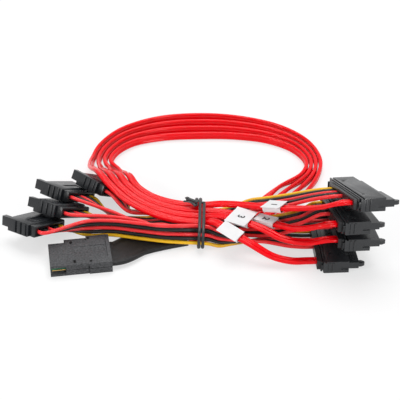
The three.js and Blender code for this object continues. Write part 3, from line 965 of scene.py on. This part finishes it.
@dataclass
class DrivePlugs:
    """The four wide plugs: housing, cover and the contact blades in both slots."""

    bench: Bench
    blade_pitch: float = 1.27
    blade_size: tuple[float, float, float] = (5.0, 0.56, 0.16)

    def build(self) -> None:
        """Builds the four plugs."""
        for number, place in enumerate(DRIVE_PLACES, start=1):
            self.bench.dressed(f"drive_plug_{number}_housing", "drive", 0.3, 3)
            self.bench.dressed(f"drive_plug_{number}_cover", "cover", 0.24, 3)
            self._blades(number, place)
            self._seams(number, place)

    def _blades(self, number: int, place: Place) -> None:
        """Contact blades on the lower wall of the data slot and the power slot.

        Args:
            number: the plug's number.
            place: where the plug lies.
        """
        half = DRIVE_WIDTH / 2
        floor = DRIVE_HEIGHT / 2 - 0.8
        rows = []
        for start, count in ((-half + 7.4, 7), (-half + 19.2, 15)):
            low = (DRIVE_FACE - 1.6, start, floor)
            high = tuple(a + b for a, b in zip(low, self.blade_size))
            blade = self.bench.block("blade", low, high)
            self._crown(blade, low[0], self.blade_size[0])
            self.bench.apply(
                blade, "ARRAY", count=count, use_relative_offset=False, use_constant_offset=True,
                constant_offset_displace=(0, self.blade_pitch, 0),
            )
            rows.append(blade)
        blades = self.bench.join(f"drive_blades_{number}", rows)
        blades.data.transform(place.matrix())
        self.bench.smooth(blades)
        self.bench.finish(blades, "gold")

    def _crown(self, blade: bpy.types.Object, start: float, length: float) -> None:
        """Bends a blade up in its middle as a contact spring.

        Args:
            blade: the blade.
            start: where it starts along the plug.
            length: its length.
        """
        self.bench.take(blade)
        bpy.ops.object.mode_set(mode="EDIT")
        bpy.ops.mesh.select_all(action="SELECT")
        bpy.ops.mesh.subdivide(number_cuts=5)
        bpy.ops.object.mode_set(mode="OBJECT")
        for vertex in blade.data.vertices:
            share = (vertex.co.x - start) / length
            vertex.co.z += 0.42 * math.sin(math.pi * share) ** 2

    def _seams(self, number: int, place: Place) -> None:
        """One latch tongue on each short side between cover and housing.

        Args:
            number: the plug's number.
            place: where the plug lies.
        """
        half = DRIVE_WIDTH / 2
        parts = []
        for side in (-1, 1):
            edge = side * (half - 0.75)
            low = (DRIVE_COVER - 1.2, min(edge, edge + side * 0.5), 2.0)
            high = (DRIVE_COVER + 1.6, max(edge, edge + side * 0.5), DRIVE_HEIGHT - 2.0)
            latch = self.bench.block("latch", low, high)
            self.bench.apply(latch, "BEVEL", width=0.14, segments=2, limit_method="ANGLE")
            parts.append(latch)
        latches = self.bench.join(f"drive_latches_{number}", parts)
        latches.data.transform(place.matrix())
        self.bench.smooth(latches)
        self.bench.finish(latches, "cover")


@dataclass
class PowerPlugs:
    """The four narrow plugs: housing, cap and the contact blades in the slot."""

    bench: Bench
    blade_pitch: float = 1.27
    blade_count: int = 14
    blade_size: tuple[float, float, float] = (5.2, 0.6, 0.18)

    def build(self) -> None:
        """Builds the four plugs."""
        for number, place in enumerate(POWER_PLACES, start=1):
            self.bench.dressed(f"power_plug_{number}_housing", "power", 0.42, 3)
            self.bench.dressed(f"power_plug_{number}_cap", "cap", 0.16)
            self._blades(number, place)

    def _blades(self, number: int, place: Place) -> None:
        """Contact blades on the lower wall of the slot.

        Args:
            number: the plug's number.
            place: where the plug lies.
        """
        low = (POWER_DEPTH - 5.6, -POWER_WIDTH / 2 + 3.1, 2.4)
        high = tuple(a + b for a, b in zip(low, self.blade_size))
        blade = self.bench.block(f"power_blades_{number}", low, high)
        self.bench.take(blade)
        bpy.ops.object.mode_set(mode="EDIT")
        bpy.ops.mesh.select_all(action="SELECT")
        bpy.ops.mesh.subdivide(number_cuts=5)
        bpy.ops.object.mode_set(mode="OBJECT")
        for vertex in blade.data.vertices:
            share = (vertex.co.x - low[0]) / self.blade_size[0]
            vertex.co.z += 0.7 * math.sin(math.pi * share) ** 2
        self.bench.apply(
            blade, "ARRAY", count=self.blade_count, use_relative_offset=False, use_constant_offset=True,
            constant_offset_displace=(0, self.blade_pitch, 0),
        )
        blade.data.transform(place.matrix())
        self.bench.smooth(blade)
        self.bench.finish(blade, "gold")


@dataclass
class Sleeve:
    """The flat braided sleeve round the ribbon behind the host plug."""

    bench: Bench
    width: float = 19.4
    thick: float = 3.2
    steps: int = 90

    def build(self) -> None:
        """Sweeps the sleeve along its route."""
        lift = self.thick / 2
        rear = HOST_PLACE.at(HOST_LENGTH - 3.7, HOST_WIDTH / 2 - 0.3, lift + 1.4)
        clear = HOST_PLACE.at(HOST_LENGTH + 4, HOST_WIDTH / 2 - 0.3, lift + 1.35)
        points = (rear, clear, (-34, -44.6, lift + 0.1), (-22, -39.6, lift + 0.1), (-9.2, -35.6, lift + 0.1))
        section = []
        for x, y in ring(self.width, self.thick, 44, 5.0):
            pinch = 1 - 0.16 * math.exp(-((abs(x) - 4.9) / 1.6) ** 2) - 0.16 * math.exp(-(x / 1.6) ** 2)
            section.append((x, y * pinch))
        sleeve = Route(points).sweep("ribbon_sleeve_skin", section, self.steps)
        self.bench.finish(sleeve, "sleeve", "ribbon_sleeve")


@dataclass
class DataCables:
    """The four flat two-core cables of the loop."""

    bench: Bench
    width: float = 4.96
    thick: float = 2.36
    steps: int = 520
    routes: list[Route] = field(default_factory=list)

    def _section(self) -> list[tuple[float, float]]:
        """Two round cores side by side with a shallow valley between them.

        Returns:
            The section's corners, counter-clockwise.
        """
        radius = self.thick / 2
        core = self.width / 2 - radius
        corners = []
        for side in (1, -1):
            for degrees in (-142, -118, -94, -70, -46, -23, 0, 23, 46, 70, 94, 118, 142):
                angle = math.radians(degrees)
                corners.append((side * (core + math.cos(angle) * radius), side * math.sin(angle) * radius))
        return corners

    def build(self) -> None:
        for cable, tail in enumerate(CABLE_TAILS):
            share = (3 - cable) / 3
            points = [tuple(Vector(outer).lerp(Vector(inner), share)) for outer, inner, _ in LOOP_STATIONS]
            points += [station[:3] for station in tail]
            place = DRIVE_PLACES[cable]
            points.append(place.at(-5, DRIVE_DATA_Y, DRIVE_HEIGHT / 2))
            points.append(place.at(DRIVE_ENTRY, DRIVE_DATA_Y, DRIVE_HEIGHT / 2))
            rolls = [roll for _, _, roll in LOOP_STATIONS] + [station[3] for station in tail]
            rolls += [-place.roll, -place.roll]
            route = Route(points, rolls)
            self.routes.append(route)
            piece = route.sweep(f"data_cable_{cable + 1}_jacket", self._section(), self.steps)
            self.bench.finish(piece, "data", f"data_cable_{cable + 1}")
            line = route.metres(240)
            round(route.length(), 4)


@dataclass
class PowerWires:
    """The twenty round wires between the power plugs and the drive plugs."""

    bench: Bench
    diameter: float = 2.04
    corners: int = 14
    steps: int = 150

    def points(self, plug: int, index: int) -> list[Triple]:
        """The route of one wire.

        Args:
            plug: the number of its plug, from 0.
            index: its place in the row, from 0.

        Returns:
            The points that it passes through, in millimetres.
        """
        power, drive = POWER_PLACES[plug], DRIVE_PLACES[plug]
        power_y = POWER_WIDTH / 2 - 4.2 - index * (POWER_WIDTH - 8.4) / (len(WIRE_COLOURS) - 1)
        drive_y = -2.6 + index * WIRE_PITCH
        found = [
            power.at(-2.1, power_y, POWER_HEIGHT / 2),
            power.at(-POWER_CAP - 3.5, power_y, POWER_HEIGHT / 2),
        ]
        for x, y, z, pitch, degrees in WIRE_ROWS[plug]:
            offset = (index - 2) * pitch
            angle = math.radians(degrees)
            found.append((x, y + offset * math.cos(angle), z + offset * math.sin(angle)))
        found.append(drive.at(-4.5, drive_y, DRIVE_HEIGHT / 2))
        found.append(drive.at(DRIVE_ENTRY, drive_y, DRIVE_HEIGHT / 2))
        return found

    def build(self) -> None:
        section = ring(self.diameter, self.diameter, self.corners)
        for plug in range(len(POWER_PLACES)):
            for index, colour in enumerate(WIRE_COLOURS):
                node = f"wire_{plug + 1}_{index + 1}_{colour}"
                route = Route(self.points(plug, index))
                piece = route.sweep(f"{node}_jacket", section, self.steps)
                self.bench.finish(piece, f"wire_{colour}", node)
                line = route.metres(120)
                round(route.length(), 4)


@dataclass(frozen=True)
class LabelSpot:
    """Where a label sits on its cable and what it says."""

    cable: int
    station: int
    near: float
    far: float
    text: str
    turn: float


@dataclass
class Labels:
    """The four white labels, each a wrap with a flat flag on top."""

    bench: Bench
    length: float = 12.6
    film: float = 0.22
    spots: tuple[LabelSpot, ...] = (
        LabelSpot(0, 3, 4.6, 4.2, "1", -90),
        LabelSpot(1, 2, 3.4, 3.4, "2", -90),
        LabelSpot(2, 1, 6.4, 8.6, "3", -84),
        LabelSpot(3, 2, 5.6, 3.2, "", 0),
    )

    def build(self) -> None:
        """Builds the four labels and their numbers."""
        for number, spot in enumerate(self.spots, start=1):
            matrix = self._matrix(spot)
            label = self._wrap(number, spot)
            label.data.transform(matrix)
            self.bench.finish(label, "label", f"label_{number}")
            if spot.text:
                self._digit(number, spot, matrix)

    def _matrix(self, spot: LabelSpot) -> Matrix:
        """Matrix from a label's own millimetres to the part's metres.

        Args:
            spot: the label's place.

        Returns:
            The matrix.
        """
        tail = CABLE_TAILS[spot.cable]
        before, here, after = (Vector(tail[spot.station + step][:3]) for step in (-1, 0, 1))
        forward = (after - before).normalized()
        left = Vector((0, 0, 1)).cross(forward).normalized()
        left = Matrix.Rotation(-math.radians(tail[spot.station][3]), 3, forward) @ left
        up = forward.cross(left)
        turn = Matrix((forward, left, up)).transposed().to_4x4()
        shift = Matrix.Translation(here + Vector((CENTRE_X, CENTRE_Y, 0)))
        return Matrix.Scale(MM, 4) @ shift @ turn

    def _wrap(self, number: int, spot: LabelSpot) -> bpy.types.Object:
        """The flag and the wrap of one label.

        Args:
            number: the label's number.
            spot: its place.

        Returns:
            The label in its own millimetres.
        """
        half, low = 2.95, 1.72
        self.bench.clear()
        bpy.ops.mesh.primitive_grid_add(x_subdivisions=16, y_subdivisions=16, size=1)
        flag = bpy.context.active_object
        width = spot.near + spot.far
        for vertex in flag.data.vertices:
            u, v = vertex.co.x * 2, vertex.co.y * 2
            curl = 0.16 * abs(v) ** 4 + 0.1 * abs(u) ** 4
            vertex.co = Vector((
                vertex.co.x * self.length, (spot.far - spot.near) / 2 + vertex.co.y * width, low + 0.1 + curl,
            ))
        self.bench.apply(flag, "SOLIDIFY", thickness=self.film, offset=1.0)
        self.bench.clear()
        bpy.ops.mesh.primitive_cylinder_add(vertices=40, radius=1, depth=self.length, end_fill_type="NOTHING")
        wrap = bpy.context.active_object
        for vertex in wrap.data.vertices:
            angle = math.atan2(vertex.co.y, vertex.co.x)
            c, s = math.cos(angle), math.sin(angle)
            y = math.copysign(abs(c) ** 0.5, c) * (half + 0.12)
            z = math.copysign(abs(s) ** 0.5, s) * (low - 0.06)
            vertex.co = Vector((vertex.co.z * 0.995, y, z))
        self.bench.apply(wrap, "SOLIDIFY", thickness=self.film, offset=1.0)
        label = self.bench.join(f"label_{number}_film", [flag, wrap])
        label.name = f"label_{number}_film"
        self.bench.smooth(label, 40)
        return label

    def _digit(self, number: int, spot: LabelSpot, matrix: Matrix) -> None:
        """The printed number of one label.

        Args:
            number: the label's number.
            spot: its place.
            matrix: the label's matrix.
        """
        self.bench.clear()
        bpy.ops.object.text_add()
        text = bpy.context.active_object
        text.data.body = spot.text
        text.data.size = 5.6
        text.data.align_x = "CENTER"
        text.data.align_y = "CENTER"
        text.data.extrude = 0.012
        text.data.offset = 0.16
        bpy.ops.object.convert(target="MESH")
        digit = bpy.context.active_object
        digit.name = f"label_{number}_number"
        middle = Matrix.Translation((0, (spot.far - spot.near) / 2, 1.72 + 0.1 + self.film + 0.02))
        digit.data.transform(matrix @ middle @ Matrix.Rotation(math.radians(spot.turn), 4, "Z"))
        self.bench.finish(digit, "ink")


@dataclass
class TwistTie:
    """The black tie: two turns round the bundle and its twisted ends."""

    bench: Bench
    width: float = 1.7
    thick: float = 1.1
    radius_y: float = 17.7
    radius_z: float = 6.9
    centre: Triple = (-0.4, -32.8, 7.55)

    def build(self) -> None:
        """Sweeps the tie's turns and its twisted ends."""
        points: list[Triple] = [(-9, -22, 14.6), (-5, -23.6, 15), (-2.2, -26.5, 14.6)]
        for index in range(29):
            angle = math.radians(70 - index * 720 / 28)
            c, s = math.cos(angle), math.sin(angle)
            y = self.centre[1] + self.radius_y * math.copysign(abs(c) ** 0.5, c)
            z = self.centre[2] + self.radius_z * math.copysign(abs(s) ** 0.5, s)
            points.append((self.centre[0] - 1.6 + index * 4.2 / 28, y, z))
        points += [(2, -23.5, 14.4), (-1, -20.8, 14.2)]
        section = []
        for x, y in ring(self.width, self.thick * 0.7, 24, 2.4):
            bulge = 1 + 0.4 * math.exp(-(x / 0.4) ** 2)
            section.append((x, y * bulge))
        turns = Route(points, level=Vector((1, 0, 0))).sweep("twist_tie_ribbon", section, 420)
        self.bench.finish(turns, "tie", "twist_tie")
        self._twist()

    def _twist(self) -> None:
        """Two ends wound round each other on top of the bundle."""
        start, end = Vector((-1.4, -24.6, 15.6)), Vector((-7.6, -20.6, 15.4))
        axis = (end - start).normalized()
        side = axis.cross(Vector((0, 0, 1))).normalized()
        up = side.cross(axis)
        strands = []
        for strand in range(2):
            points = []
            for index in range(26):
                share = index / 25
                angle = 2 * math.pi * 2.4 * share + math.pi * strand
                reach = 0.62 + 0.5 * max(0.0, share - 0.75) * 4
                across = side * math.cos(angle) * reach
                rise = up * math.sin(angle) * reach * 0.8
                points.append(tuple(start.lerp(end, share) + across + rise))
            strands.append(Route(points).sweep("strand", ring(1.5, 0.62, 12, 3.0), 120))
        twist = self.bench.join("twist_tie_ends", strands)
        self.bench.finish(twist, "tie")


@dataclass
class Studio:
    """The pale floor, the soft lamps and the camera."""

    lens: float = 108.8
    distance: float = 700.0
    elevation: float = 35.0
    floor_size: float = 6.0

    def build(self) -> None:
        """Builds the camera first, then the floor, the lamps and the world."""
        self._camera()
        self._floor()
        self._lamps()
        self._world()
        bpy.context.scene.view_settings.view_transform = "Standard"

    def _camera(self) -> None:
        """Adds the camera at the photograph's viewing angle."""
        data = bpy.data.cameras.new("camera")
        data.lens = self.lens
        data.sensor_width = 36.0
        data.clip_end = 20.0
        camera = bpy.data.objects.new("camera", data)
        bpy.context.scene.collection.objects.link(camera)
        tilt = math.radians(self.elevation)
        target = Vector((CENTRE_X, CENTRE_Y, 0)) * MM
        away = Vector((0, -math.cos(tilt), math.sin(tilt))) * self.distance * MM
        camera.location = target + away
        camera.rotation_euler = (-away).to_track_quat("-Z", "Y").to_euler()
        bpy.context.scene.camera = camera

    def _floor(self) -> None:
        """Adds the floor, which looks white to the camera and keeps the shadows."""
        bpy.ops.object.select_all(action="DESELECT")
        bpy.ops.mesh.primitive_plane_add(size=self.floor_size)
        floor = bpy.context.active_object
        floor.name = "studio_floor"
        material = bpy.data.materials.new("floor_pale")
        material.use_nodes = True
        nodes, links = material.node_tree.nodes, material.node_tree.links
        nodes.clear()
        output = nodes.new("ShaderNodeOutputMaterial")
        diffuse = nodes.new("ShaderNodeBsdfDiffuse")
        diffuse.inputs["Color"].default_value = (0.9, 0.9, 0.9, 1)
        glow = nodes.new("ShaderNodeEmission")
        glow.inputs["Color"].default_value = (1, 1, 1, 1)
        mix = nodes.new("ShaderNodeMixShader")
        path = nodes.new("ShaderNodeLightPath")
        share = nodes.new("ShaderNodeMath")
        share.operation = "MULTIPLY"
        share.inputs[1].default_value = 0.62
        seen = self._seen(nodes, links, path)
        links.new(seen.outputs[0], share.inputs[0])
        links.new(share.outputs[0], mix.inputs[0])
        links.new(diffuse.outputs[0], mix.inputs[1])
        links.new(glow.outputs[0], mix.inputs[2])
        links.new(mix.outputs[0], output.inputs["Surface"])
        floor.data.materials.append(material)

    @staticmethod
    def _seen(nodes: Any, links: Any, path: bpy.types.Node) -> bpy.types.Node:
        """Adds the test for camera, glossy and transmission rays.

        Args:
            nodes: the tree's nodes.
            links: the tree's links.
            path: the Light Path node.

        Returns:
            The node that gives 1 for such a ray.
        """
        first = nodes.new("ShaderNodeMath")
        first.operation = "MAXIMUM"
        second = nodes.new("ShaderNodeMath")
        second.operation = "MAXIMUM"
        links.new(path.outputs["Is Camera Ray"], first.inputs[0])
        links.new(path.outputs["Is Transmission Ray"], first.inputs[1])
        links.new(first.outputs[0], second.inputs[0])
        links.new(path.outputs["Is Glossy Ray"], second.inputs[1])
        return second

    def _lamps(self) -> None:
        """Adds a broad top lamp and two side lamps."""
        self._lamp("lamp_top", (0.05, 0.45, 1.4), 1.1, 17.5)
        self._lamp("lamp_left", (-1.2, -0.7, 0.7), 0.5, 6.5)
        self._lamp("lamp_front", (0.8, -1.4, 0.6), 0.5, 8.0)

    @staticmethod
    def _lamp(name: str, place: Triple, size: float, power: float) -> None:
        """Adds one square lamp that faces the part.

        Args:
            name: the lamp's name.
            place: where it is, in metres.
            size: its edge in metres.
            power: its power in watts.
        """
        data = bpy.data.lights.new(name, "AREA")
        data.shape = "SQUARE"
        data.size = size
        data.energy = power
        lamp = bpy.data.objects.new(name, data)
        bpy.context.scene.collection.objects.link(lamp)
        lamp.location = place
        lamp.rotation_euler = (-Vector(place)).to_track_quat("-Z", "Y").to_euler()

    @staticmethod
    def _world() -> None:
        """Sets an even world that looks white to the camera and in reflections."""
        world = bpy.data.worlds.new("studio")
        bpy.context.scene.world = world
        world.use_nodes = True
        nodes, links = world.node_tree.nodes, world.node_tree.links
        nodes.clear()
        output = nodes.new("ShaderNodeOutputWorld")
        room = nodes.new("ShaderNodeBackground")
        room.inputs["Color"].default_value = (0.97, 0.98, 1.0, 1)
        room.inputs["Strength"].default_value = 0.36
        white = nodes.new("ShaderNodeBackground")
        white.inputs["Color"].default_value = (1, 1, 1, 1)
        white.inputs["Strength"].default_value = 1.0
        path = nodes.new("ShaderNodeLightPath")
        mix = nodes.new("ShaderNodeMixShader")
        seen = Studio._seen(nodes, links, path)
        links.new(seen.outputs[0], mix.inputs[0])
        links.new(room.outputs[0], mix.inputs[1])
        links.new(white.outputs[0], mix.inputs[2])
        links.new(mix.outputs[0], output.inputs["Surface"])


def main() -> None:
    """Builds the studio and every piece of the lead in order."""
    logging.basicConfig(level=logging.INFO, format="%(message)s")
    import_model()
    Studio().build()
    bench = Bench()
    DataCables(bench).build()
    PowerWires(bench).build()
    Sleeve(bench).build()
    HostPlug(bench).build()
    DrivePlugs(bench).build()
    PowerPlugs(bench).build()
    Labels(bench).build()
    TwistTie(bench).build()
    bench.clear()


if __name__ == "__main__":
    main()
